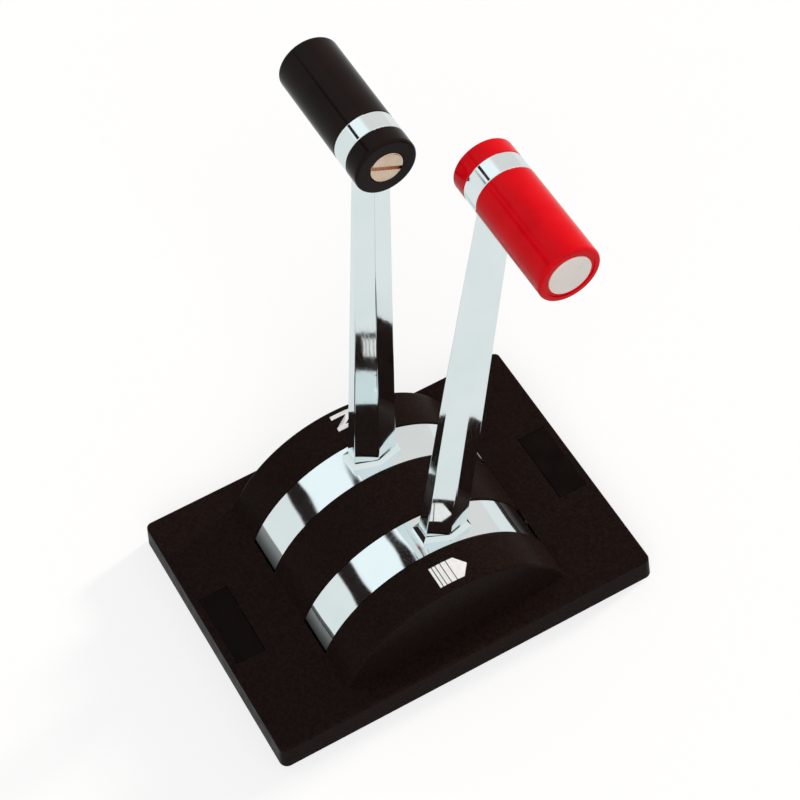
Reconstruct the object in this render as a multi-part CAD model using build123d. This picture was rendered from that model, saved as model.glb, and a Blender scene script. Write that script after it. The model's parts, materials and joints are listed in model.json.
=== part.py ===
from build123d import *
import math
import os

# ---------------------------------------------------------------- driving sizes, mm
# X runs fore and aft, Y athwartships, Z up. The origin is on the deck, under the plate's centre.
PLATE_LENGTH = 200.0
PLATE_WIDTH = 145.0
PLATE_TOP = 15.0
PLATE_CORNER = 4.0
PLATE_DRAFT = 1.0
PLATE_EDGE_ROUND = 1.2
WALL = 3.0
GASKET = 1.5

PIVOT_X = 1.0
PIVOT_DROP = 25.5
END_LAND = 35.5
CHEEK_WIDTH = 22.0
SLOT_WIDTH = 21.5
CENTRE_WIDTH = 30.5
SLOT_WALL = 2.9
HOOD_EDGE_ROUND = 1.6
SLOT_EDGE_ROUND = 0.6

DRUM_STEP = 0.6
DRUM_THICKNESS = 3.5
DRUM_SIDE_GAP = 0.5
DRUM_END_GAP = 0.7
DRUM_HALF_ANGLE = 106.0
SWING = 35.0

SHIFT_LEAN = 3.65
THROTTLE_LEAN = 10.85

KNOB_RADIUS = 14.1
LEVER_LENGTH = 283.0
EYE_WIDTH = 9.6
CAP_LENGTH = 9.0
GRIP_LENGTH = 49.0
KNOB_END_ROUND = 1.4
CLAMP_SCREW_RADIUS = 4.0
CLAMP_HEAD_RADIUS = 7.5
CLAMP_SLOT = 1.9
CLAMP_SLOT_ANGLE = 23.0
DISC_RADIUS = 9.7
DISC_THICKNESS = 1.4
DISC_RECESS = 11.3
DISC_RECESS_DEPTH = 0.5

EYE_OFFSET = 21.5
FOOT_OFFSET = 26.6
ARM_FOOT = (11.2, 3.5, 7.0)
ARM_TOP = (8.1, 1.4, 2.9)
RIDGE_ROUND = 1.6
ARM_EDGE_ROUND = 0.5
FOOT_SPREAD = 1.8
FOOT_HEIGHT = 1.5
FOOT_FLARE = 1.8

SHAFT_RADIUS = 6.0
SHAFT_FIT = 0.05
BUSH_WALL = 1.5
BUSH_LENGTH = 11.0
HUB_RADIUS = 11.0
WASHER = 1.0
PLAY = 0.1
FRAME_PLATE = 3.0
CENTRE_PLATE = 4.0
SIDE_PLATE_Y = 42.0
WEB = 5.0
WEB_DISC_RADIUS = 28.0
WEB_RIB = 5.0
ARM_PLATE = 4.0
ARM_ANGLE = -125.0
ARM_EYE = 7.5
CABLE_PIN_RADIUS = 3.0
NOTCH_DEPTH = 2.0
TIE_RADIUS = 3.0
SPACER_RADIUS = 4.2
CABLE_RADIUS = 4.0
ANCHOR_DROP = 112.0
ANCHOR_HEIGHT = 16.0

LABEL_LENGTH = 40.0
LABEL_WIDTH = 14.5
LABEL_THICKNESS = 1.7
LABEL_INSET = 11.3
LABEL_GAP = 0.2
DECK_SCREW_SPACING = 26.0
DECK_SCREW_RADIUS = 2.5
BOSS_RADIUS = 7.0
RIB_INSET = 32.5
WINDOW_GAP = 10.5

# ---------------------------------------------------------------- derived places
FAR = PLATE_LENGTH + PLATE_WIDTH
HOOD_RADIUS = PLATE_LENGTH / 2 - END_LAND
LABEL_CENTRE = PLATE_LENGTH / 2 - LABEL_INSET
PIVOT_Z = PLATE_TOP - PIVOT_DROP
SLOT_IN = CENTRE_WIDTH / 2
SLOT_OUT = SLOT_IN + SLOT_WIDTH
HOOD_HALF = SLOT_OUT + CHEEK_WIDTH
DRUM_RADIUS = HOOD_RADIUS - DRUM_STEP
RIM_INNER = DRUM_RADIUS - DRUM_THICKNESS
DRUM_IN = SLOT_IN + DRUM_SIDE_GAP
DRUM_OUT = SLOT_OUT - DRUM_SIDE_GAP
SLOT_RADIUS = DRUM_RADIUS + DRUM_END_GAP
SURROUND_RADIUS = SLOT_RADIUS + SLOT_WALL
CAVITY_TOP = PLATE_TOP - WALL
HUB_IN = CENTRE_PLATE / 2 + WASHER + 2 * PLAY
HUB_OUT = SIDE_PLATE_Y - WASHER - 2 * PLAY
BUSH_RADIUS = SHAFT_RADIUS + SHAFT_FIT + BUSH_WALL
ARM_IN = DRUM_IN + 0.25
WEB_IN = ARM_IN + ARM_PLATE
WEB_OUT = WEB_IN + WEB
FLANGE_TOP = GASKET + 2.5
FRAME_SCREW_X = 45.0
FRAME_SCREW_Y = SIDE_PLATE_Y + FRAME_PLATE + 6.0
WINDOW_LENGTH = 2 * (SURROUND_RADIUS + WINDOW_GAP)
WINDOW_WIDTH = 2 * (FRAME_SCREW_Y + 10)
TIE_TOP = (SURROUND_RADIUS + 4.5, PIVOT_Z + 3.5)
TIE_LOW = (26.0, PIVOT_Z - HOOD_RADIUS + 3)
ARM_REACH = HOOD_RADIUS - 19.5
CABLE_Y = CENTRE_PLATE / 2 + 7.0
ANCHOR_X = PIVOT_X - 33.0
DETENT_RADIUS = max(WEB_DISC_RADIUS, RIM_INNER - 26.4)
DETENT_Z = PIVOT_Z - DETENT_RADIUS
SPRING_Z = DETENT_Z - 2.6
SPRING_IN = WEB_OUT + 0.5
SPRING_WIDTH = 6.0
SPRING_THICKNESS = 0.8
BLOCK_HALF = 6.5
BLOCK_END = 36.5
BLOCK_X = BLOCK_END - BLOCK_HALF
BLOCK_TOP = SPRING_Z - SPRING_THICKNESS
BLOCK_LOW = PIVOT_Z - math.sqrt((RIM_INNER - 1.3) ** 2 - (BLOCK_END - PIVOT_X) ** 2)
BLOCK_MIDDLE = (BLOCK_TOP + BLOCK_LOW) / 2


# ---------------------------------------------------------------- shared shapes
def rod(x, z, start, end, radius):
    """A cylinder along Y."""
    return Pos(x, (start + end) / 2, z) * Rot(90, 0, 0) * Cylinder(radius, abs(end - start))


def upright(x, y, low, high, radius):
    """A cylinder along Z."""
    return Pos(x, y, (low + high) / 2) * Cylinder(radius, high - low)


def block(x0, x1, y0, y1, z0, z1):
    centre = Pos((x0 + x1) / 2, (y0 + y1) / 2, (z0 + z1) / 2)
    return centre * Box(x1 - x0, y1 - y0, z1 - z0)


def slab(profile, start, end):
    """A profile drawn in X and Z, as a plate from y = start to y = end."""
    return Pos(0, end, 0) * extrude(Plane.XZ * profile, amount=end - start)


def hexagon_rod(x, z, start, end, across_flats):
    """A nut or bolt head along Y."""
    return slab(Pos(x, z) * RegularPolygon(across_flats / 2, 6, major_radius=False), start, end)


def at_pivot(piece, lean=0.0):
    """Carries a piece drawn about the pivot to its place, leaned forward."""
    return Pos(PIVOT_X, 0, PIVOT_Z) * Rot(0, lean, 0) * piece


def both_sides(piece):
    return [piece, mirror(piece, about=Plane.XZ)]


def save(node, *solids):
    shape = solids[0] if len(solids) == 1 else Compound(children=list(solids))
    export_step(shape, f"parts/{node}.step")


# ---------------------------------------------------------------- cover, gasket and labels
def slot_pair(radius, margin=0.0):
    """Both drum slots as cylinders about the pivot, widened by a margin each side."""
    one = rod(PIVOT_X, PIVOT_Z, SLOT_IN - margin, SLOT_OUT + margin, radius)
    return one + mirror(one, about=Plane.XZ)


def hood(radius, half_width):
    drum = rod(PIVOT_X, PIVOT_Z, -half_width, half_width, radius)
    return drum & block(-FAR, FAR, -FAR, FAR, CAVITY_TOP - 1, FAR)


def deck_screw_places():
    half = DECK_SCREW_SPACING / 2
    return [(x, y) for x in (-LABEL_CENTRE, LABEL_CENTRE) for y in (-half, half)]


def frame_screw_places():
    xs = (PIVOT_X - FRAME_SCREW_X, PIVOT_X + FRAME_SCREW_X)
    return [(x, y) for x in xs for y in (-FRAME_SCREW_Y, FRAME_SCREW_Y)]


def plate_body():
    foot = RectangleRounded(PLATE_LENGTH + 2 * PLATE_DRAFT, PLATE_WIDTH + 2 * PLATE_DRAFT, PLATE_CORNER)
    rise = PLATE_TOP - GASKET
    taper = math.degrees(math.atan(PLATE_DRAFT / rise))
    body = Pos(0, 0, GASKET) * extrude(foot, amount=rise, taper=taper)
    top_edges = body.faces().sort_by(Axis.Z)[-1].edges()
    return fillet(top_edges, PLATE_EDGE_ROUND)


def hood_with_slots():
    dome = hood(HOOD_RADIUS, HOOD_HALF)
    dome = fillet(dome.edges().filter_by(GeomType.CIRCLE), HOOD_EDGE_ROUND)
    dome -= slot_pair(SLOT_RADIUS)
    arcs = dome.edges().filter_by(GeomType.CIRCLE)
    outside = arcs.filter_by(lambda edge: abs(edge.radius - HOOD_RADIUS) < 0.01)
    slot_edges = outside.filter_by(lambda edge: abs(edge.center().Y) < SLOT_OUT + 1)
    return fillet(slot_edges, SLOT_EDGE_ROUND)


def cover():
    outside = plate_body() + hood_with_slots()

    hollow = block(
        WALL - PLATE_LENGTH / 2, PLATE_LENGTH / 2 - WALL,
        WALL - PLATE_WIDTH / 2, PLATE_WIDTH / 2 - WALL,
        GASKET - 1, CAVITY_TOP,
    )
    hollow += hood(HOOD_RADIUS - WALL, HOOD_HALF - WALL)
    surround = slot_pair(SURROUND_RADIUS, SLOT_WALL) & block(-FAR, FAR, -FAR, FAR, GASKET, FAR)
    hollow -= surround

    for x, y in deck_screw_places():
        hollow -= upright(x, y, GASKET, PLATE_TOP, BOSS_RADIUS)
    for x, y in frame_screw_places():
        hollow -= upright(x, y, FLANGE_TOP, PLATE_TOP + HOOD_RADIUS, 4.0)
    rib_end = PLATE_LENGTH / 2
    for side in (-1, 1):
        for y in (RIB_INSET - PLATE_WIDTH / 2, 0.0, PLATE_WIDTH / 2 - RIB_INSET):
            ends = sorted((side * (SURROUND_RADIUS + 1), side * rib_end))
            hollow -= block(ends[0], ends[1], y - 1, y + 1, GASKET + 3, CAVITY_TOP)

    body = outside - hollow
    body -= slot_pair(SLOT_RADIUS)
    for x in (-LABEL_CENTRE, LABEL_CENTRE):
        recess = Box(LABEL_WIDTH + 2 * LABEL_GAP, LABEL_LENGTH + 2 * LABEL_GAP, 4.0)
        body -= Pos(x, 0, PLATE_TOP - LABEL_THICKNESS + 0.3 + 2.0) * recess
    for x, y in deck_screw_places():
        body -= upright(x, y, 0, PLATE_TOP, DECK_SCREW_RADIUS + 0.25)
        body -= upright(x, y, PLATE_TOP - 5.2, PLATE_TOP, 5.0)
    for x, y in frame_screw_places():
        body -= upright(x, y, 0, FLANGE_TOP + 13, 1.7)
    return body


def gasket():
    outline = RectangleRounded(PLATE_LENGTH - 1, PLATE_WIDTH - 1, PLATE_CORNER)
    window = RectangleRounded(WINDOW_LENGTH, WINDOW_WIDTH, 6.0)
    sheet = extrude(outline - window, amount=GASKET)
    for x, y in deck_screw_places():
        sheet -= upright(x, y, -1, GASKET + 1, DECK_SCREW_RADIUS + 0.25)
    return sheet


def label_plate(x):
    low = PLATE_TOP - LABEL_THICKNESS + 0.3
    outline = RectangleRounded(LABEL_WIDTH, LABEL_LENGTH, 0.8)
    plate = Pos(x, 0, low) * extrude(outline, amount=LABEL_THICKNESS)
    return chamfer(plate.faces().sort_by(Axis.Z)[-1].edges(), 0.3)


def deck_screw(x, y):
    seat = PLATE_TOP - 5.2
    shank = upright(x, y, -22, 0, DECK_SCREW_RADIUS) + upright(x, y, 0, seat, DECK_SCREW_RADIUS - 0.4)
    head = upright(x, y, seat, seat + 2.8, 4.6)
    head = fillet(head.faces().sort_by(Axis.Z)[-1].edges(), 0.9)
    slot = Pos(x, y, seat + 2.6) * Box(1.2, 10, 1.6)
    return shank + head - slot


# ---------------------------------------------------------------- frame under the hood
def tie_places():
    return [(s * place[0], place[1]) for place in (TIE_TOP, TIE_LOW) for s in (-1, 1)]


def frame_profile(top):
    side = TIE_TOP[0] + 4.5
    low = TIE_LOW[0] + 7
    shoulder = TIE_TOP[1] - 8
    points = [
        (-side, top), (side, top), (side, shoulder),
        (low, TIE_LOW[1] - 8), (-low, TIE_LOW[1] - 8), (-side, shoulder),
    ]
    return make_face(Polyline(*points, close=True))


def drill_frame(plate, start, end):
    plate -= rod(PIVOT_X, PIVOT_Z, start - 1, end + 1, SHAFT_RADIUS + SHAFT_FIT)
    for x, z in tie_places():
        plate -= rod(x, z, start - 1, end + 1, TIE_RADIUS + 0.1)
    return plate


def friction_place():
    return PIVOT_X + 20.0, PIVOT_Z


def side_plate(side):
    inner, outer = SIDE_PLATE_Y, SIDE_PLATE_Y + FRAME_PLATE
    plate = slab(frame_profile(FLANGE_TOP), inner, outer)
    reach = TIE_TOP[0] - 8
    flange = block(-reach, reach, inner, FRAME_SCREW_Y + 5.5, GASKET, FLANGE_TOP)
    plate = drill_frame(plate + flange, inner, outer)
    for x, y in frame_screw_places():
        plate -= upright(x, y, 0, PLATE_TOP, 2.2)
    if side < 0:
        x, z = friction_place()
        plate -= rod(x, z, inner - 1, outer + 1, 4.05)
        return mirror(plate, about=Plane.XZ)
    for shift in (-3.5, 3.5):
        plate -= rod(BLOCK_X + shift, BLOCK_MIDDLE, inner - 1, outer + 1, 1.6)
    return plate


def cable_eye_window():
    """The hole through which the cables' eyes go on their pins."""
    eyes = []
    for lean in (SHIFT_LEAN, THROTTLE_LEAN):
        x, z = arm_direction(ARM_REACH, lean)
        eyes += (Pos(PIVOT_X + x, PIVOT_Z + z) * Circle(ARM_EYE + 2)).edges()
    return make_hull(eyes)


def centre_plate():
    half = CENTRE_PLATE / 2
    profile = frame_profile(0.5)
    tail_height = ANCHOR_DROP + TIE_LOW[1] + 30
    profile += Pos(ANCHOR_X, -ANCHOR_DROP + tail_height / 2) * Rectangle(30, tail_height)
    plate = drill_frame(slab(profile, -half, half), -half, half)
    for x, z in clamp_screw_places():
        plate -= rod(x, z, -half - 1, half + 1, 2.1)
    return plate - slab(cable_eye_window(), -half - 1, half + 1)


def spacers():
    tubes = []
    for x, z in tie_places():
        tube = rod(x, z, CENTRE_PLATE / 2, SIDE_PLATE_Y, SPACER_RADIUS)
        tube -= rod(x, z, 0, SIDE_PLATE_Y + 1, TIE_RADIUS + 0.3)
        tubes += both_sides(tube)
    return tubes


def tie_bolt(x, z):
    outer = SIDE_PLATE_Y + FRAME_PLATE
    shank = rod(x, z, -outer, outer + 6.5, TIE_RADIUS)
    return shank + hexagon_rod(x, z, -outer - 4, -outer, 9.0)


def tie_nut(x, z):
    outer = SIDE_PLATE_Y + FRAME_PLATE
    nut = hexagon_rod(x, z, outer, outer + 4.8, 9.0)
    return nut - rod(x, z, outer - 1, outer + 8, TIE_RADIUS + 0.02)


def frame_screw(x, y):
    shank = upright(x, y, GASKET, FLANGE_TOP + 11, 1.6)
    head = upright(x, y, GASKET - 2.4, GASKET, 3.6)
    slot = Pos(x, y, GASKET - 2.4) * Box(8, 1.0, 2.2)
    return shank + fillet(head.faces().sort_by(Axis.Z)[0].edges(), 0.8) - slot


def pivot_shaft():
    end = SIDE_PLATE_Y + FRAME_PLATE + 4.0
    shaft = rod(PIVOT_X, PIVOT_Z, -end, end, SHAFT_RADIUS)
    shaft = chamfer(shaft.edges().filter_by(GeomType.CIRCLE), 0.6)
    groove_in = SIDE_PLATE_Y + FRAME_PLATE + PLAY
    ring = rod(PIVOT_X, PIVOT_Z, groove_in, groove_in + 1.2, SHAFT_RADIUS + 1)
    ring -= rod(PIVOT_X, PIVOT_Z, groove_in - 1, groove_in + 3, SHAFT_RADIUS - 1)
    return shaft - ring - mirror(ring, about=Plane.XZ)


def shaft_clip():
    inner = SIDE_PLATE_Y + FRAME_PLATE + 2 * PLAY
    clip = rod(PIVOT_X, PIVOT_Z, inner, inner + 1.0, SHAFT_RADIUS + 3)
    clip -= rod(PIVOT_X, PIVOT_Z, inner - 1, inner + 2, SHAFT_RADIUS - 0.95)
    return clip - block(PIVOT_X - 3, PIVOT_X + 3, inner - 1, inner + 2, PIVOT_Z - 12, PIVOT_Z)


def thrust_washer(start):
    ring = rod(PIVOT_X, PIVOT_Z, start, start + WASHER, HUB_RADIUS - 1)
    return ring - rod(PIVOT_X, PIVOT_Z, start - 1, start + WASHER + 1, SHAFT_RADIUS + 0.1)


# ---------------------------------------------------------------- cable anchors
def clamp_screw_places():
    z = -ANCHOR_DROP + ANCHOR_HEIGHT / 2
    return [(ANCHOR_X - 9.5, z), (ANCHOR_X + 9.5, z)]


def cable_hole():
    return upright(ANCHOR_X, CABLE_Y, -ANCHOR_DROP - 1, -ANCHOR_DROP + ANCHOR_HEIGHT + 1, CABLE_RADIUS)


def anchor_piece(start, end):
    x0, x1 = ANCHOR_X - 14, ANCHOR_X + 14
    body = block(x0, x1, start, end, -ANCHOR_DROP, -ANCHOR_DROP + ANCHOR_HEIGHT)
    for x, z in clamp_screw_places():
        body -= rod(x, z, start - 1, end + 1, 2.1)
    return body - cable_hole()


def anchor_block():
    return anchor_piece(CENTRE_PLATE / 2, CABLE_Y - 0.3)


def clamp_saddle():
    return anchor_piece(CABLE_Y + 0.3, CABLE_Y + 6.0)


def clamp_bolt(x, z):
    end = CABLE_Y + 6.0
    shank = rod(x, z, -end, end, 2.0)
    head = rod(x, z, end, end + 2.6, 3.8)
    return shank + head


def clamp_nut(x, z):
    end = CABLE_Y + 6.0
    nut = hexagon_rod(x, z, -end - 3.2, -end, 7.0)
    bolt_tip = rod(x, z, -end - 4, -end, 2.02)
    return nut - bolt_tip


# ---------------------------------------------------------------- shift detent and throttle friction
def detent_block():
    x0, x1 = BLOCK_X - BLOCK_HALF, BLOCK_END
    body = block(x0, x1, SPRING_IN, SIDE_PLATE_Y, BLOCK_LOW, BLOCK_TOP)
    for shift in (-3.5, 3.5):
        x, y = BLOCK_X + shift, SPRING_IN + SPRING_WIDTH / 2
        body -= rod(x, BLOCK_MIDDLE, SIDE_PLATE_Y - 9, SIDE_PLATE_Y + 1, 1.5)
        body -= upright(x, y, BLOCK_TOP - 4, BLOCK_TOP + 1, 1.05)
    return body


def detent_block_screw(shift):
    outer = SIDE_PLATE_Y + FRAME_PLATE
    x, z = BLOCK_X + shift, BLOCK_MIDDLE
    return rod(x, z, SIDE_PLATE_Y - 8, outer, 1.48) + rod(x, z, outer, outer + 2.2, 3.0)


def detent_spring():
    nose = PIVOT_X
    low = SPRING_Z
    apex = DETENT_Z + NOTCH_DEPTH - 0.3
    points = [
        (BLOCK_END, low), (nose + 5, low), (nose + 1, apex), (nose - 1, apex),
        (nose - 5, low), (nose - 12, low - 1.0),
    ]
    back = [(x, z - SPRING_THICKNESS) for x, z in reversed(points)]
    strip = slab(make_face(Polyline(*points, *back, close=True)), SPRING_IN, SPRING_IN + SPRING_WIDTH)
    for shift in (-3.5, 3.5):
        strip -= upright(BLOCK_X + shift, SPRING_IN + SPRING_WIDTH / 2, low - 3, low + 1, 1.15)
    return strip


def spring_screw(shift):
    x, y = BLOCK_X + shift, SPRING_IN + SPRING_WIDTH / 2
    shank = upright(x, y, BLOCK_TOP - 3.6, SPRING_Z, 1.03)
    return shank + upright(x, y, SPRING_Z, SPRING_Z + 1.2, 2.0)


def friction_pad():
    x, z = friction_place()
    return rod(x, z, -WEB_OUT - 4.5, -WEB_OUT - PLAY, 5.0)


def friction_screw():
    x, z = friction_place()
    end = SIDE_PLATE_Y + FRAME_PLATE + 9.0
    screw = rod(x, z, -end, -WEB_OUT - 4.5, 4.0)
    return screw - block(x - 5, x + 5, -end - 1, -end + 1.6, z - 0.6, z + 0.6)


def friction_nut():
    x, z = friction_place()
    outer = SIDE_PLATE_Y + FRAME_PLATE
    nut = hexagon_rod(x, z, -outer - 5, -outer, 13.0)
    return nut - rod(x, z, -outer - 6, -outer + 1, 4.05)


# ---------------------------------------------------------------- lever bodies, drawn upright about the pivot
def arm_section(half_length, edge, ridge):
    points = [
        (half_length, -edge), (half_length, edge), (0, ridge),
        (-half_length, edge), (-half_length, -edge), (0, -ridge),
    ]
    return make_face(Polyline(*points, close=True))


def station(height, offset):
    return Plane(origin=(0, offset, height), z_dir=(0, 0, 1))


def lever_arm():
    plinth_low = DRUM_RADIUS - 2.0
    plinth_top = DRUM_RADIUS + FOOT_HEIGHT
    flare_top = plinth_top + FOOT_FLARE
    wide = arm_section(*[size + FOOT_SPREAD for size in ARM_FOOT])
    plinth = loft([station(plinth_low, FOOT_OFFSET) * wide, station(plinth_top, FOOT_OFFSET) * wide])
    flare = loft([
        station(plinth_top, FOOT_OFFSET) * wide,
        station(flare_top, FOOT_OFFSET) * arm_section(*ARM_FOOT),
    ])
    shank = loft([
        station(flare_top, FOOT_OFFSET) * arm_section(*ARM_FOOT),
        station(LEVER_LENGTH - 6, EYE_OFFSET) * arm_section(*ARM_TOP),
    ])
    long_edges = shank.edges().filter_by(lambda edge: edge.length > LEVER_LENGTH / 2)
    ridges = long_edges.filter_by(lambda edge: abs(edge.center().X) < 1)
    shank = fillet(ridges, RIDGE_ROUND)
    long_edges = shank.edges().filter_by(lambda edge: edge.length > LEVER_LENGTH / 2)
    corners = long_edges.filter_by(lambda edge: abs(edge.center().X) > ARM_TOP[0] / 2)
    return plinth + flare + fillet(corners, ARM_EDGE_ROUND)


def drum_sector(outer, start, end, half_angle):
    """The part of a drum within half_angle of the lever."""
    whole = rod(0, 0, start, end, outer)
    far = 3 * outer
    steps = [math.radians(a) for a in (-half_angle, -half_angle / 2, 0, half_angle / 2, half_angle)]
    corners = [(far * math.sin(a), far * math.cos(a)) for a in steps]
    return whole & slab(make_face(Polyline((0, 0), *corners, close=True)), start - 1, end + 1)


def lever_casting():
    rim = drum_sector(DRUM_RADIUS, DRUM_IN, DRUM_OUT, DRUM_HALF_ANGLE)
    rim -= rod(0, 0, DRUM_IN - 1, DRUM_OUT + 1, RIM_INNER)
    web = drum_sector(RIM_INNER + 0.5, WEB_IN, WEB_OUT, DRUM_HALF_ANGLE - 2)
    reach = (RIM_INNER + WEB_DISC_RADIUS) / 2
    hole = (RIM_INNER - WEB_DISC_RADIUS) / 2 - WEB_RIB
    for angle in (-68, -24, 24, 68):
        turn = math.radians(angle)
        web -= rod(reach * math.sin(turn), reach * math.cos(turn), WEB_IN - 1, WEB_OUT + 1, hole)
    web += rod(0, 0, WEB_IN, WEB_OUT, WEB_DISC_RADIUS)
    hub = rod(0, 0, HUB_IN, HUB_OUT, HUB_RADIUS)
    eye = rod(0, LEVER_LENGTH, EYE_OFFSET - EYE_WIDTH / 2, EYE_OFFSET + EYE_WIDTH / 2, KNOB_RADIUS)
    eye = fillet(eye.edges().filter_by(GeomType.CIRCLE), 0.5)
    body = rim + web + hub + lever_arm() + eye
    body -= rod(0, 0, HUB_IN - 1, HUB_OUT + 1, BUSH_RADIUS)
    body -= rod(0, LEVER_LENGTH, 0, EYE_OFFSET + 20, CLAMP_SCREW_RADIUS + 0.3)
    for x, z in arm_screw_places():
        body -= rod(x, z, WEB_IN - 1, WEB_OUT + 1, 2.6)
    return body


def bush(start):
    sleeve = rod(0, 0, start, start + BUSH_LENGTH, BUSH_RADIUS)
    return sleeve - rod(0, 0, start - 1, start + BUSH_LENGTH + 1, SHAFT_RADIUS + SHAFT_FIT)


def grip():
    start = EYE_OFFSET + EYE_WIDTH / 2
    end = start + GRIP_LENGTH
    body = rod(0, LEVER_LENGTH, start, end, KNOB_RADIUS)
    ends = body.edges().filter_by(GeomType.CIRCLE).sort_by(Axis.Y)
    body = fillet(ends[-1], KNOB_END_ROUND)
    body = chamfer(body.edges().filter_by(GeomType.CIRCLE).sort_by(Axis.Y)[0], 0.3)
    body -= rod(0, LEVER_LENGTH, end - DISC_RECESS_DEPTH, end + 1, DISC_RECESS)
    body -= rod(0, LEVER_LENGTH, end - DISC_THICKNESS, end + 1, DISC_RADIUS + 0.1)
    body -= rod(0, LEVER_LENGTH, start - 1, start + 26, CLAMP_SCREW_RADIUS + 0.3)
    return body - rod(0, LEVER_LENGTH, start + 4, start + 24, 6.5)


def grip_insert():
    start = EYE_OFFSET + EYE_WIDTH / 2 + 4
    body = rod(0, LEVER_LENGTH, start, start + 20, 6.5)
    return body - rod(0, LEVER_LENGTH, start - 1, start + 21, CLAMP_SCREW_RADIUS + 0.02)


def grip_disc():
    end = EYE_OFFSET + EYE_WIDTH / 2 + GRIP_LENGTH
    body = rod(0, LEVER_LENGTH, end - DISC_THICKNESS, end, DISC_RADIUS)
    return fillet(body.edges().filter_by(GeomType.CIRCLE).sort_by(Axis.Y)[-1], 0.3)


def end_cap():
    end = EYE_OFFSET - EYE_WIDTH / 2
    start = end - CAP_LENGTH
    body = rod(0, LEVER_LENGTH, start, end, KNOB_RADIUS)
    body = fillet(body.edges().filter_by(GeomType.CIRCLE).sort_by(Axis.Y)[0], KNOB_END_ROUND)
    body = chamfer(body.edges().filter_by(GeomType.CIRCLE).sort_by(Axis.Y)[-1], 0.3)
    body -= rod(0, LEVER_LENGTH, start - 1, end + 1, CLAMP_SCREW_RADIUS + 0.3)
    return body - rod(0, LEVER_LENGTH, start - 1, start + 2.4, CLAMP_HEAD_RADIUS + 0.3)


def clamp_screw():
    seat = EYE_OFFSET - EYE_WIDTH / 2 - CAP_LENGTH + 2.4
    head = rod(0, LEVER_LENGTH, seat - 2.9, seat, CLAMP_HEAD_RADIUS)
    head = fillet(head.edges().filter_by(GeomType.CIRCLE).sort_by(Axis.Y)[0], 0.7)
    shank = rod(0, LEVER_LENGTH, seat, EYE_OFFSET + EYE_WIDTH / 2 + 24, CLAMP_SCREW_RADIUS)
    cut = Rot(0, CLAMP_SLOT_ANGLE, 0) * Box(2 * CLAMP_HEAD_RADIUS + 2, 2.8, CLAMP_SLOT)
    return head + shank - Pos(0, seat - 2.9, LEVER_LENGTH) * cut


def arm_direction(reach, spread=0.0):
    turn = math.radians(ARM_ANGLE + spread)
    return reach * math.sin(turn), reach * math.cos(turn)


def arm_screw_places():
    return [arm_direction(20.0, -38.0), arm_direction(20.0, 38.0)]


def cable_arm():
    x, z = arm_direction(ARM_REACH)
    outline = make_hull([*Circle(WEB_DISC_RADIUS - 1).edges(), *(Pos(x, z) * Circle(ARM_EYE)).edges()])
    plate = slab(outline, ARM_IN, WEB_IN)
    plate -= rod(0, 0, ARM_IN - 1, WEB_IN + 1, HUB_RADIUS + 0.2)
    plate -= rod(x, z, ARM_IN - 1, WEB_IN + 1, CABLE_PIN_RADIUS)
    for sx, sz in arm_screw_places():
        plate -= rod(sx, sz, ARM_IN - 1, WEB_IN + 1, 2.6)
        plate -= rod(sx, sz, ARM_IN - 1, ARM_IN + 2.6, 4.4)
    return plate


def arm_screw(x, z, stack_end):
    head = rod(x, z, ARM_IN, ARM_IN + 2.6, 4.3)
    return head + rod(x, z, ARM_IN + 2.6, stack_end + 4.6, 2.5)


def arm_nut(x, z, stack_end):
    nut = hexagon_rod(x, z, stack_end, stack_end + 4.0, 8.0)
    return nut - rod(x, z, stack_end - 1, stack_end + 6, 2.52)


def cable_pin():
    x, z = arm_direction(ARM_REACH)
    pin = rod(x, z, CENTRE_PLATE / 2 + 1.5, WEB_IN, CABLE_PIN_RADIUS)
    pin += rod(x, z, ARM_IN - 1.5, ARM_IN, CABLE_PIN_RADIUS + 1.3)
    tip = CENTRE_PLATE / 2 + 3.2
    return pin - Pos(x, tip, z) * Cylinder(0.8, 4 * CABLE_PIN_RADIUS)


def detent_plate():
    """Drawn for the rest pose: its middle notch faces straight down."""
    far = 2 * DETENT_RADIUS
    fan = [(far * math.sin(math.radians(a)), -far * math.cos(math.radians(a))) for a in (-56, -28, 0, 28, 56)]
    sector = Circle(DETENT_RADIUS) & make_face(Polyline((0, 0), *fan, close=True))
    profile = sector + Circle(WEB_DISC_RADIUS - 1)
    for angle in (-SWING, 0, SWING):
        mouth, floor, depth = 5.4, 1.4, NOTCH_DEPTH
        notch = make_face(Polyline(
            (-mouth, -DETENT_RADIUS - 1.6), (mouth, -DETENT_RADIUS - 1.6),
            (floor, -DETENT_RADIUS + depth), (-floor, -DETENT_RADIUS + depth), close=True,
        ))
        profile -= Rot(0, 0, angle) * notch
    plate = slab(profile, WEB_OUT, WEB_OUT + WEB)
    plate -= rod(0, 0, WEB_OUT - 1, WEB_OUT + WEB + 1, HUB_RADIUS + 0.2)
    for x, z in arm_screw_places():
        hole = rod(x, z, WEB_OUT - 1, WEB_OUT + WEB + 1, 2.6)
        plate -= Rot(0, SHIFT_LEAN, 0) * hole
    return plate


def lever_set(name, stack_end, carry):
    """Every piece of one lever; carry takes each to its side and lean."""
    nodes = {
        "lever": [lever_casting()],
        "grip": [grip()],
        "cap": [end_cap()],
        "clamp_screw": [clamp_screw()],
        "grip_insert": [grip_insert()],
        "grip_disc": [grip_disc()],
        "bushes": [bush(HUB_IN), bush(HUB_OUT - BUSH_LENGTH)],
        "cable_arm": [cable_arm()],
        "arm_screws": [arm_screw(x, z, stack_end) for x, z in arm_screw_places()],
        "arm_nuts": [arm_nut(x, z, stack_end) for x, z in arm_screw_places()],
        "cable_pin": [cable_pin()],
    }
    for node, pieces in nodes.items():
        save(f"{name}_{node}", *[carry(piece) for piece in pieces])


def carry_shift(piece):
    return at_pivot(piece, SHIFT_LEAN)


def carry_throttle(piece):
    return at_pivot(mirror(piece, about=Plane.XZ), THROTTLE_LEAN)


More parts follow.
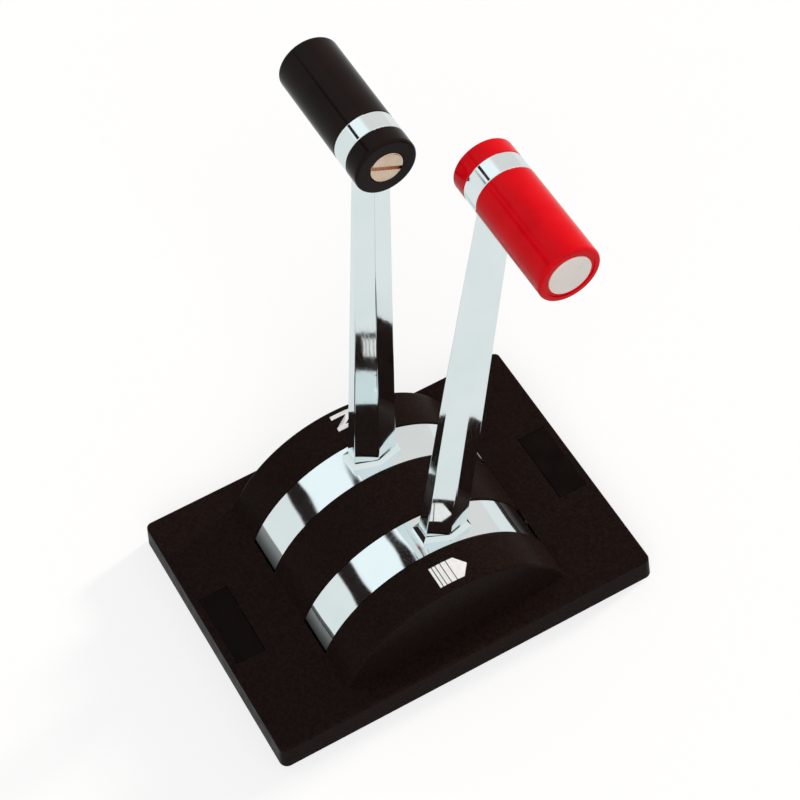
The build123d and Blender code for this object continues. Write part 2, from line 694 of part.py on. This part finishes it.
# ---------------------------------------------------------------- build
def build():
    os.makedirs("parts", exist_ok=True)
    save("cover", cover())
    save("gasket", gasket())
    save("front_label_plate", label_plate(LABEL_CENTRE))
    save("rear_label_plate", label_plate(-LABEL_CENTRE))
    save("deck_screws", *[deck_screw(x, y) for x, y in deck_screw_places()])
    save("starboard_side_plate", side_plate(1))
    save("port_side_plate", side_plate(-1))
    save("centre_plate", centre_plate())
    save("frame_spacers", *spacers())
    save("tie_bolts", *[tie_bolt(x, z) for x, z in tie_places()])
    save("tie_nuts", *[tie_nut(x, z) for x, z in tie_places()])
    save("frame_screws", *[frame_screw(x, y) for x, y in frame_screw_places()])
    save("pivot_shaft", pivot_shaft())
    save("shaft_clips", *both_sides(shaft_clip()))
    washer_in = thrust_washer(CENTRE_PLATE / 2 + PLAY)
    washer_out = thrust_washer(SIDE_PLATE_Y - WASHER - PLAY)
    save("thrust_washers", *both_sides(washer_in), *both_sides(washer_out))
    save("cable_anchor_blocks", *both_sides(anchor_block()))
    save("clamp_saddles", *both_sides(clamp_saddle()))
    save("clamp_bolts", *[clamp_bolt(x, z) for x, z in clamp_screw_places()])
    save("clamp_nuts", *[clamp_nut(x, z) for x, z in clamp_screw_places()])
    save("detent_block", detent_block())
    save("detent_block_screws", *[detent_block_screw(shift) for shift in (-3.5, 3.5)])
    save("detent_spring", detent_spring())
    save("detent_spring_screws", *[spring_screw(shift) for shift in (-3.5, 3.5)])
    save("friction_pad", friction_pad())
    save("friction_screw", friction_screw())
    save("friction_nut", friction_nut())
    save("shift_detent_plate", at_pivot(detent_plate()))
    lever_set("shift", WEB_OUT + WEB, carry_shift)
    lever_set("throttle", WEB_OUT, carry_throttle)


build()
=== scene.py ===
import json
import math

import bmesh
import bpy
from mathutils import Matrix, Vector


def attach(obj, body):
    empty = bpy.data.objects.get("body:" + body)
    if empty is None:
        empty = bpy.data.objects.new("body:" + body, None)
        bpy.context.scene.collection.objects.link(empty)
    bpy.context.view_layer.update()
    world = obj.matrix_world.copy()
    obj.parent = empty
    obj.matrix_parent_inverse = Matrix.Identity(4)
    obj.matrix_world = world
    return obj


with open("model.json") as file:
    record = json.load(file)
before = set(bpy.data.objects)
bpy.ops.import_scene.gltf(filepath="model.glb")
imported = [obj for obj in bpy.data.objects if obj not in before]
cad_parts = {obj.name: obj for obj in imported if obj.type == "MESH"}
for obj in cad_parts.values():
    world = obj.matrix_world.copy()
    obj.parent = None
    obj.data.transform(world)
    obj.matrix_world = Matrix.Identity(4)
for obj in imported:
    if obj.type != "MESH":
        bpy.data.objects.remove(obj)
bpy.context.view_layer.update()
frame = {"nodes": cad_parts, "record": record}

MM = 0.001

# the levers' axis, the hood about it, and half of the opening cut in the deck
PIVOT = Vector((1.0 * MM, 0.0, -10.5 * MM))
HOOD_RADIUS = 64.5 * MM
CUT_OUT = (78.0 * MM, 61.0 * MM)

# the printed marks: their height, how far they sink in, and where they bend
MARK_HEIGHT = 0.06 * MM
MARK_SINK = 0.01 * MM
BEND_STEP = 1.0 * MM

# how exact cuts in a flat sheet are, and which points of a letter are one
CUT_MARGIN = 1e-7
WELD_MARGIN = 1e-5

# satin plastic's gloss at a low angle
SATIN_COAT_IOR = 1.8

# the deck, the light it gets and the light it gives to metal
FLOOR_HALF = 4.0
FLOOR_ALBEDO = 0.35
FLOOR_LIGHT = 0.925
FLOOR_IN_METAL = 0.84
FLOOR_TINT_IN_METAL = (0.93, 1.0, 1.0)

# the darkness below the deck
SHADE_HALF = 0.6
SHADE_DEPTH = -0.11

# the room
SKY_LIGHT = 0.45
ROOM = (0.80, 0.83, 0.83)
BRIGHT_CARD = (0.94, 1.01, 1.03)
DULL_CARD = (0.75, 0.73, 0.71)
DARK_CARD = (0.02, 0.014, 0.014)


# ---------------------------------------------------------------- camera
def aim_camera(azimuth, elevation, roll, place, lens):
    """Looks down at the control from behind it, on the throttle lever's side."""
    around, above, lean = math.radians(azimuth), math.radians(elevation), math.radians(roll)
    level = math.cos(above)
    back = Vector((math.sin(around) * level, -math.cos(around) * level, math.sin(above)))
    right = Vector((0, 0, 1)).cross(back).normalized()
    up = back.cross(right)
    side = right * math.cos(lean) + up * math.sin(lean)
    top = up * math.cos(lean) - right * math.sin(lean)
    data = bpy.data.cameras.new("camera")
    data.lens = lens
    data.sensor_width = 36.0
    data.clip_start = 0.01
    data.clip_end = 50.0
    camera = bpy.data.objects.new("camera", data)
    turn = Matrix((side, top, back)).transposed().to_4x4()
    camera.matrix_world = Matrix.Translation(place) @ turn
    bpy.context.scene.collection.objects.link(camera)
    bpy.context.scene.camera = camera


# ---------------------------------------------------------------- materials
class Finish:
    """A Principled material with helpers for real-size detail in Object coordinates."""

    def __init__(self, name, colour, roughness, metallic=0.0, shine=0.5):
        self.material = bpy.data.materials.get(name) or bpy.data.materials.new(name)
        self.material.use_nodes = True
        self.tree = self.material.node_tree
        self.tree.nodes.clear()
        output = self.tree.nodes.new("ShaderNodeOutputMaterial")
        self.base = self.tree.nodes.new("ShaderNodeBsdfPrincipled")
        self.tree.links.new(self.base.outputs[0], output.inputs["Surface"])
        self.base.inputs["Base Color"].default_value = (*colour, 1.0)
        self.base.inputs["Roughness"].default_value = roughness
        self.base.inputs["Metallic"].default_value = metallic
        self.base.inputs["Specular IOR Level"].default_value = shine
        self.place = self.tree.nodes.new("ShaderNodeTexCoord").outputs["Object"]
        self.normal = None

    def noise(self, size, detail=2.0, stretch=(1.0, 1.0, 1.0)):
        """Noise whose features are about size metres across, stretched along the axes."""
        mapping = self.tree.nodes.new("ShaderNodeMapping")
        mapping.inputs["Scale"].default_value = [1.0 / (size * s) for s in stretch]
        texture = self.tree.nodes.new("ShaderNodeTexNoise")
        texture.inputs["Scale"].default_value = 1.0
        texture.inputs["Detail"].default_value = detail
        self.tree.links.new(self.place, mapping.inputs["Vector"])
        self.tree.links.new(mapping.outputs[0], texture.inputs["Vector"])
        return texture.outputs["Fac"]

    def spread(self, value, low, high, start=0.3, end=0.7):
        """Maps a value that goes from start to end to the range from low to high."""
        node = self.tree.nodes.new("ShaderNodeMapRange")
        node.inputs["From Min"].default_value = start
        node.inputs["From Max"].default_value = end
        node.inputs["To Min"].default_value = low
        node.inputs["To Max"].default_value = high
        self.tree.links.new(value, node.inputs["Value"])
        return node.outputs["Result"]

    def vary_colour(self, value, one, other, start=0.35, end=0.65):
        """Goes from one base colour to the other as the value goes from start to end."""
        mix = self.tree.nodes.new("ShaderNodeMix")
        mix.data_type = "RGBA"
        mix.inputs["A"].default_value = (*one, 1.0)
        mix.inputs["B"].default_value = (*other, 1.0)
        self.tree.links.new(self.spread(value, 0.0, 1.0, start, end), mix.inputs["Factor"])
        self.tree.links.new(mix.outputs["Result"], self.base.inputs["Base Color"])

    def vary_roughness(self, value, low, high):
        """Spreads the roughness between low and high."""
        self.tree.links.new(self.spread(value, low, high), self.base.inputs["Roughness"])

    def on_the_drum(self, near, far):
        """One value on the levers' drum bands, another out along the arms."""
        across = self.tree.nodes.new("ShaderNodeVectorMath")
        across.operation = "MULTIPLY_ADD"
        across.inputs[1].default_value = (1.0, 0.0, 1.0)
        across.inputs[2].default_value = (-PIVOT.x, 0.0, -PIVOT.z)
        self.tree.links.new(self.place, across.inputs[0])
        reach = self.tree.nodes.new("ShaderNodeVectorMath")
        reach.operation = "LENGTH"
        self.tree.links.new(across.outputs["Vector"], reach.inputs[0])
        past_the_drum = HOOD_RADIUS + 6 * MM
        return self.spread(reach.outputs["Value"], near, far, HOOD_RADIUS, past_the_drum)

    def gloss_along_top(self, roughness):
        """Glossier where a top face is seen almost edge on, as satin plastic is."""
        weight = self.tree.nodes.new("ShaderNodeLayerWeight")
        edge_on = self.spread(weight.outputs["Facing"], 0.0, 1.0, start=0.45, end=0.75)
        direction = self.tree.nodes.new("ShaderNodeSeparateXYZ")
        surface = self.tree.nodes.new("ShaderNodeTexCoord")
        self.tree.links.new(surface.outputs["Normal"], direction.inputs[0])
        upward = self.spread(direction.outputs["Z"], 0.0, 1.0, start=0.90, end=0.99)
        both = self.tree.nodes.new("ShaderNodeMath")
        both.operation = "MULTIPLY"
        self.tree.links.new(edge_on, both.inputs[0])
        self.tree.links.new(upward, both.inputs[1])
        self.tree.links.new(both.outputs[0], self.base.inputs["Coat Weight"])
        self.base.inputs["Coat Roughness"].default_value = roughness
        self.base.inputs["Coat IOR"].default_value = SATIN_COAT_IOR

    def relief(self, value, depth, strength=None):
        """Adds a bump of that depth in metres, on top of the bumps before it."""
        bump = self.tree.nodes.new("ShaderNodeBump")
        bump.inputs["Distance"].default_value = depth
        if strength is not None:
            self.tree.links.new(strength, bump.inputs["Strength"])
        self.tree.links.new(value, bump.inputs["Height"])
        if self.normal is not None:
            self.tree.links.new(self.normal, bump.inputs["Normal"])
        self.normal = bump.outputs["Normal"]
        self.tree.links.new(self.normal, self.base.inputs["Normal"])


def moulded_plastic(name, colour, lighter, roughness, grain, depth, shine=0.5):
    """Satin plastic with a moulded grain of that size and depth."""
    finish = Finish(name, colour, sum(roughness) / 2, shine=shine)
    finish.vary_colour(finish.noise(1.3 * MM, 4.0), colour, lighter, 0.30, 0.70)
    finish.vary_roughness(finish.noise(6 * MM, 4.0), *roughness)
    finish.gloss_along_top(sum(roughness) / 2)
    finish.relief(finish.noise(grain, 2.0), depth)
    return finish.material


def gloss_plastic(name, colour, lighter, roughness, wave, shine=0.5):
    """Smooth plastic with slow waves of that height, as a moulding has."""
    finish = Finish(name, colour, sum(roughness) / 2, shine=shine)
    finish.vary_colour(finish.noise(12 * MM, 2.0), colour, lighter)
    finish.vary_roughness(finish.noise(2.2 * MM, 5.0), *roughness)
    finish.relief(finish.noise(9 * MM, 1.0), wave)
    finish.relief(finish.noise(0.25 * MM, 2.0), 0.0012 * MM)
    return finish.material


def polished_chrome(name):
    """Chrome over a polished casting, wavier on the drum bands than along the arms."""
    finish = Finish(name, (0.86, 0.92, 0.93), 0.06, 1.0)
    finish.vary_colour(finish.noise(30 * MM, 2.0), (0.86, 0.92, 0.93), (0.82, 0.89, 0.90))
    finish.vary_roughness(finish.noise(1.2 * MM, 6.0, (1, 1, 5)), 0.035, 0.085)
    finish.relief(finish.noise(21 * MM, 0.0), 0.50 * MM, finish.on_the_drum(1.0, 0.25))
    return finish.material


def turned_metal(name, colour, other, roughness):
    """Metal with the fine lines that a lathe tool leaves."""
    finish = Finish(name, colour, sum(roughness) / 2, 1.0)
    finish.vary_colour(finish.noise(5 * MM, 3.0), colour, other)
    finish.vary_roughness(finish.noise(1.0 * MM, 5.0), *roughness)
    finish.relief(finish.noise(0.35 * MM, 3.0, (1, 8, 1)), 0.004 * MM)
    return finish.material


def plated_steel(name, colour, other, roughness):
    """Steel with a cloudy zinc coat."""
    finish = Finish(name, colour, sum(roughness) / 2, 1.0)
    finish.vary_colour(finish.noise(7 * MM, 5.0), colour, other)
    finish.vary_roughness(finish.noise(3 * MM, 6.0), *roughness)
    finish.relief(finish.noise(0.6 * MM, 4.0, (1, 1, 4)), 0.006 * MM)
    return finish.material


def rubber(name):
    """Dull black sheet rubber."""
    finish = Finish(name, (0.018, 0.018, 0.018), 0.75)
    finish.vary_colour(finish.noise(9 * MM, 4.0), (0.016, 0.016, 0.016), (0.028, 0.027, 0.026))
    finish.vary_roughness(finish.noise(2 * MM, 4.0), 0.65, 0.85)
    finish.relief(finish.noise(0.5 * MM, 3.0), 0.03 * MM)
    return finish.material


def control_finishes():
    """Every finish of the control, by the name of its material slot."""
    return {
        "cover_plastic": moulded_plastic(
            "cover_moulding", (0.0075, 0.0044, 0.0037), (0.0170, 0.0096, 0.0076),
            roughness=(0.26, 0.38), grain=0.42 * MM, depth=0.020 * MM, shine=0.018,
        ),
        "gasket_rubber": rubber("gasket_sheet"),
        "label_black": gloss_plastic(
            "label_gloss", (0.0060, 0.0038, 0.0032), (0.0080, 0.0050, 0.0042),
            roughness=(0.16, 0.26), wave=0.01 * MM, shine=0.02,
        ),
        "screw_steel": plated_steel(
            "zinc_screws", (0.60, 0.60, 0.58), (0.48, 0.49, 0.47), roughness=(0.22, 0.38),
        ),
        "frame_steel": plated_steel(
            "zinc_frame", (0.56, 0.56, 0.53), (0.44, 0.45, 0.42), roughness=(0.28, 0.45),
        ),
        "bright_steel": turned_metal(
            "ground_steel", (0.66, 0.66, 0.66), (0.58, 0.58, 0.58), roughness=(0.16, 0.28),
        ),
        "anchor_plastic": moulded_plastic(
            "anchor_moulding", (0.05, 0.05, 0.052), (0.065, 0.065, 0.068),
            roughness=(0.42, 0.55), grain=0.3 * MM, depth=0.02 * MM,
        ),
        "lever_chrome": polished_chrome("lever_plating"),
        "grip_black": gloss_plastic(
            "grip_black_gloss", (0.0100, 0.0056, 0.0044), (0.0130, 0.0072, 0.0058),
            roughness=(0.09, 0.14), wave=0.02 * MM, shine=0.075,
        ),
        "grip_red": gloss_plastic(
            "grip_red_gloss", (0.70, 0.0, 0.006), (0.76, 0.002, 0.008),
            roughness=(0.10, 0.16), wave=0.02 * MM, shine=0.085,
        ),
        "screw_copper": turned_metal(
            "screw_head_metal", (0.78, 0.60, 0.46), (0.70, 0.52, 0.39), roughness=(0.20, 0.34),
        ),
        "disc_ivory": gloss_plastic(
            "disc_gloss", (0.92, 0.86, 0.80), (0.86, 0.80, 0.74),
            roughness=(0.26, 0.40), wave=0.01 * MM, shine=0.3,
        ),
        "bush_brass": turned_metal(
            "bush_metal", (0.70, 0.52, 0.26), (0.60, 0.43, 0.20), roughness=(0.22, 0.38),
        ),
    }


def finish_control():
    """Gives each solid of the control its finish."""
    finishes = control_finishes()
    slots = {part["node"]: part["material_slot"] for part in frame["record"]["subparts"]}
    for node, piece in frame["nodes"].items():
        for place in range(max(1, len(piece.material_slots))):
            if place >= len(piece.data.materials):
                piece.data.materials.append(None)
            piece.data.materials[place] = finishes[slots[node]]


# ---------------------------------------------------------------- forms
def cut(sheet, point, normal, drop_outside=False):
    """Cuts a flat sheet along a line through point, and drops the normal's side if asked."""
    bmesh.ops.bisect_plane(
        sheet, geom=sheet.verts[:] + sheet.edges[:] + sheet.faces[:], dist=CUT_MARGIN,
        plane_co=point, plane_no=normal, clear_outer=drop_outside,
    )


def make_object(form, name, material):
    """Turns a finished form into an object of the scene."""
    mesh = bpy.data.meshes.new(name)
    form.to_mesh(mesh)
    form.free()
    mesh.materials.append(material)
    thing = bpy.data.objects.new(name, mesh)
    bpy.context.scene.collection.objects.link(thing)
    return thing


# ---------------------------------------------------------------- marks on the hood
def white_ink():
    """The screen-printed white of the marks."""
    finish = Finish("mark_ink", (0.90, 0.90, 0.89), 0.45)
    finish.vary_colour(finish.noise(2 * MM, 4.0), (0.92, 0.92, 0.91), (0.84, 0.83, 0.82))
    finish.vary_roughness(finish.noise(0.8 * MM, 3.0), 0.38, 0.55)
    finish.relief(finish.noise(0.3 * MM, 2.0), 0.004 * MM)
    return finish.material


def wrap_on_hood(flat, name, ink):
    """Bends a flat mark, drawn with its arc length in X and its place in Y, onto the hood."""
    lengths = [v.co.x for v in flat.verts]
    line = math.ceil(min(lengths) / BEND_STEP) * BEND_STEP
    while line < max(lengths):
        cut(flat, (line, 0, 0), (1, 0, 0))
        line += BEND_STEP
    bmesh.ops.solidify(flat, geom=flat.faces[:], thickness=MARK_HEIGHT)
    heights = [v.co.z for v in flat.verts]
    for v in flat.verts:
        turn = v.co.x / HOOD_RADIUS
        reach = HOOD_RADIUS + v.co.z - min(heights) - MARK_SINK
        v.co = (PIVOT.x + reach * math.sin(turn), v.co.y, PIVOT.z + reach * math.cos(turn))
    bmesh.ops.recalc_face_normals(flat, faces=flat.faces[:])
    mark = make_object(flat, name, ink)
    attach(mark, "housing")


def throttle_arrow(ink):
    """A striped arrow on the throttle lever's cheek that points ahead, to more throttle."""
    back, shoulder, tip = -4.95 * MM, 7.77 * MM, 12.4 * MM
    inner, outer, middle = -43.7 * MM, -55.3 * MM, -49.2 * MM
    ends = [back, back + 1.3 * MM, back + 3.2 * MM, back + 5.7 * MM, back + 8.7 * MM, tip]
    gap = 0.42 * MM
    for number in range(5):
        start = ends[number] + (gap if number else 0.0)
        end = ends[number + 1]
        place = Matrix.Translation(((start + end) / 2, (inner + outer) / 2, 0))
        spread = Matrix.Diagonal(((end - start) / 2, (inner - outer) / 2, 1, 1))
        bar = bmesh.new()
        bmesh.ops.create_grid(bar, x_segments=1, y_segments=1, size=1.0, matrix=place @ spread)
        for side, normal in ((inner, 1), (outer, -1)):
            run = Vector((tip - shoulder, middle - side, 0))
            outward = Vector((abs(run.y), normal * run.x, 0))
            cut(bar, (shoulder, side, 0), outward.normalized(), drop_outside=True)
        wrap_on_hood(bar, f"throttle_arrow_bar_{number + 1}", ink)


def flat_letter(letter, boldness):
    """A letter as a flat form."""
    curve = bpy.data.curves.new("letter_text", "FONT")
    curve.body = letter
    curve.size = 1.0
    curve.offset = boldness
    text = bpy.data.objects.new("letter_text", curve)
    bpy.context.scene.collection.objects.link(text)
    bpy.context.view_layer.update()
    flat = bmesh.new()
    flat.from_mesh(text.to_mesh())
    text.to_mesh_clear()
    bpy.data.objects.remove(text)
    bmesh.ops.remove_doubles(flat, verts=flat.verts[:], dist=WELD_MARGIN)
    return flat


def neutral_letter(ink):
    """A bold N on the shift lever's cheek, where that lever stands in neutral."""
    foot, left = -3.4 * MM, 55.6 * MM
    height, width = 12.6 * MM, 9.8 * MM
    letter = flat_letter("N", boldness=0.036)
    low = Vector([min(v.co[i] for v in letter.verts) for i in range(3)])
    high = Vector([max(v.co[i] for v in letter.verts) for i in range(3)])
    for v in letter.verts:
        across = (v.co.x - low.x) / (high.x - low.x)
        up = (v.co.y - low.y) / (high.y - low.y)
        v.co = (foot + up * height, left - across * width, 0)
    wrap_on_hood(letter, "neutral_letter", ink)


# ---------------------------------------------------------------- floor and light
def lay_floor():
    """A white deck with the control's cut-out, seen from above only."""
    sheet = bmesh.new()
    bmesh.ops.create_grid(sheet, x_segments=1, y_segments=1, size=FLOOR_HALF)
    for axis, half in enumerate(CUT_OUT):
        for side in (-1, 1):
            point, normal = [0, 0, 0], [0, 0, 0]
            point[axis] = side * half
            normal[axis] = 1
            cut(sheet, point, normal)
    middles = {face: face.calc_center_median() for face in sheet.faces}
    inside = [
        face for face, middle in middles.items()
        if abs(middle.x) < CUT_OUT[0] and abs(middle.y) < CUT_OUT[1]
    ]
    bmesh.ops.delete(sheet, geom=inside, context="FACES")
    floor = make_object(sheet, "floor", floor_paint())


def shade_below():
    """Darkness under the deck's opening."""
    sheet = bmesh.new()
    depth = Matrix.Translation((0, 0, SHADE_DEPTH))
    bmesh.ops.create_grid(sheet, x_segments=1, y_segments=1, size=SHADE_HALF, matrix=depth)
    shade = make_object(sheet, "under_deck", under_deck_dark())


def under_deck_dark():
    """Black to an eye above it, and clear to one below and to all other light."""
    material = bpy.data.materials.new("under_deck_shade")
    material.use_nodes = True
    nodes, links = material.node_tree.nodes, material.node_tree.links
    nodes.clear()
    output = nodes.new("ShaderNodeOutputMaterial")
    dark = nodes.new("ShaderNodeEmission")
    dark.inputs["Strength"].default_value = 0.0
    clear = nodes.new("ShaderNodeBsdfTransparent")
    path = nodes.new("ShaderNodeLightPath")
    side = nodes.new("ShaderNodeNewGeometry")
    seen = nodes.new("ShaderNodeMath")
    seen.operation = "SUBTRACT"
    seen.use_clamp = True
    links.new(path.outputs["Is Camera Ray"], seen.inputs[0])
    links.new(side.outputs["Backfacing"], seen.inputs[1])
    mix = nodes.new("ShaderNodeMixShader")
    links.new(seen.outputs[0], mix.inputs["Fac"])
    links.new(clear.outputs[0], mix.inputs[1])
    links.new(dark.outputs[0], mix.inputs[2])
    links.new(mix.outputs[0], output.inputs["Surface"])
    return material


def floor_paint():
    """White to the eye and in reflections, keeps the shadow, and is clear from below."""
    material = bpy.data.materials.new("floor_paint")
    material.use_nodes = True
    nodes, links = material.node_tree.nodes, material.node_tree.links
    nodes.clear()
    output = nodes.new("ShaderNodeOutputMaterial")
    diffuse = nodes.new("ShaderNodeBsdfDiffuse")
    diffuse.inputs["Color"].default_value = (FLOOR_ALBEDO, FLOOR_ALBEDO, FLOOR_ALBEDO, 1)
    path = nodes.new("ShaderNodeLightPath")
    lit = FLOOR_ALBEDO * FLOOR_LIGHT
    shader = diffuse.outputs[0]
    for ray, colour, level in (
        ("Is Camera Ray", (1.0, 1.0, 1.0), 1.0 - lit),
        ("Is Glossy Ray", FLOOR_TINT_IN_METAL, FLOOR_IN_METAL - lit),
        ("Is Transmission Ray", (1.0, 1.0, 1.0), 1.0 - lit),
    ):
        glow = nodes.new("ShaderNodeEmission")
        glow.inputs["Color"].default_value = (*colour, 1)
        strength = nodes.new("ShaderNodeMath")
        strength.operation = "MULTIPLY"
        strength.inputs[1].default_value = level
        links.new(path.outputs[ray], strength.inputs[0])
        links.new(strength.outputs[0], glow.inputs["Strength"])
        both = nodes.new("ShaderNodeAddShader")
        links.new(shader, both.inputs[0])
        links.new(glow.outputs[0], both.inputs[1])
        shader = both.outputs[0]
    clear = nodes.new("ShaderNodeBsdfTransparent")
    side = nodes.new("ShaderNodeNewGeometry")
    mix = nodes.new("ShaderNodeMixShader")
    links.new(side.outputs["Backfacing"], mix.inputs["Fac"])
    links.new(shader, mix.inputs[1])
    links.new(clear.outputs[0], mix.inputs[2])
    links.new(mix.outputs[0], output.inputs["Surface"])
    return material


def toward(azimuth, elevation):
    """A direction by its angle from +Y toward +X and its angle above the floor."""
    around, above = math.radians(azimuth), math.radians(elevation)
    level = math.cos(above)
    return Vector((math.sin(around) * level, math.cos(around) * level, math.sin(above)))


class Studio:
    """The world: plain light for matt surfaces, white to the eye, and cards for metal to mirror."""

    def __init__(self):
        world = bpy.data.worlds.new("studio")
        bpy.context.scene.world = world
        world.use_nodes = True
        self.tree = world.node_tree
        self.tree.nodes.clear()
        self.way = self.tree.nodes.new("ShaderNodeTexCoord").outputs["Generated"]
        path = self.tree.nodes.new("ShaderNodeLightPath")
        mirrored = self.background(self.cards())
        plain = self.background((1, 1, 1), SKY_LIGHT)
        seen = self.background((1, 1, 1), 1.0)
        shader = self.choose(path.outputs["Is Glossy Ray"], plain, mirrored)
        shader = self.choose(path.outputs["Is Transmission Ray"], shader, seen)
        shader = self.choose(path.outputs["Is Camera Ray"], shader, seen)
        output = self.tree.nodes.new("ShaderNodeOutputWorld")
        self.tree.links.new(shader, output.inputs["Surface"])

    def background(self, colour, strength=1.0):
        """Light of that colour from all round."""
        node = self.tree.nodes.new("ShaderNodeBackground")
        node.inputs["Strength"].default_value = strength
        if isinstance(colour, tuple):
            node.inputs["Color"].default_value = (*colour, 1)
        else:
            self.tree.links.new(colour, node.inputs["Color"])
        return node.outputs[0]

    def choose(self, factor, one, other):
        """The one light where the factor is 0, and the other where it is 1."""
        mix = self.tree.nodes.new("ShaderNodeMixShader")
        self.tree.links.new(factor, mix.inputs["Fac"])
        self.tree.links.new(one, mix.inputs[1])
        self.tree.links.new(other, mix.inputs[2])
        return mix.outputs[0]

    def card(self, under, colour, centre, radius, edge):
        """Paints a round card of that radius in degrees, with a soft edge, over what is there."""
        near = self.tree.nodes.new("ShaderNodeVectorMath")
        near.operation = "DOT_PRODUCT"
        near.inputs[1].default_value = centre
        self.tree.links.new(self.way, near.inputs[0])
        inside = self.tree.nodes.new("ShaderNodeMapRange")
        inside.interpolation_type = "SMOOTHSTEP"
        inside.inputs["From Min"].default_value = math.cos(math.radians(radius + edge))
        inside.inputs["From Max"].default_value = math.cos(math.radians(radius - edge))
        self.tree.links.new(near.outputs["Value"], inside.inputs["Value"])
        mix = self.tree.nodes.new("ShaderNodeMix")
        mix.data_type = "RGBA"
        self.tree.links.new(inside.outputs["Result"], mix.inputs["Factor"])
        if isinstance(under, tuple):
            mix.inputs["A"].default_value = (*under, 1)
        else:
            self.tree.links.new(under, mix.inputs["A"])
        mix.inputs["B"].default_value = (*colour, 1)
        return mix.outputs["Result"]

    def cards(self):
        """A pale room, bright above the shift lever's side, dull ahead, with four dark cards."""
        view = self.card(ROOM, BRIGHT_CARD, toward(-28.0, 54.0), radius=24.0, edge=6.0)
        view = self.card(view, DULL_CARD, toward(52.0, 20.0), radius=45.0, edge=7.0)
        view = self.card(view, DARK_CARD, toward(-57.5, 31.0), radius=7.8, edge=1.2)
        view = self.card(view, DARK_CARD, toward(-39.5, 39.5), radius=4.2, edge=0.6)
        view = self.card(view, DARK_CARD, toward(-7.0, 63.8), radius=5.0, edge=1.2)
        return self.card(view, DARK_CARD, toward(25.0, -56.0), radius=22.0, edge=2.0)


def sun(name, way, strength, colour, angle):
    """Even light from that way; metal mirrors the world's cards in place of it."""
    data = bpy.data.lights.new(name, "SUN")
    data.energy = strength
    data.color = colour
    data.angle = math.radians(angle)
    lamp = bpy.data.objects.new(name, data)
    lamp.rotation_euler = way.to_track_quat("Z", "Y").to_euler()
    lamp.visible_glossy = False
    bpy.context.scene.collection.objects.link(lamp)


def light_studio():
    """The room and two lamps, with every colour shown as it is."""
    Studio()
    sun("side_light", toward(80.0, 18.0), strength=2.4, colour=(1.0, 0.90, 0.84), angle=8.0)
    sun("front_light", toward(-155.0, 38.0), strength=1.3, colour=(1.0, 1.0, 1.0), angle=50.0)
    bpy.context.scene.view_settings.view_transform = "Standard"


# ---------------------------------------------------------------- build
aim_camera(
    azimuth=-24.38, elevation=54.53, roll=-6.0,
    place=Vector((-0.2492, -0.5733, 1.0092)), lens=109.03,
)
finish_control()
mark_ink = white_ink()
throttle_arrow(mark_ink)
neutral_letter(mark_ink)
lay_floor()
shade_below()
light_studio()
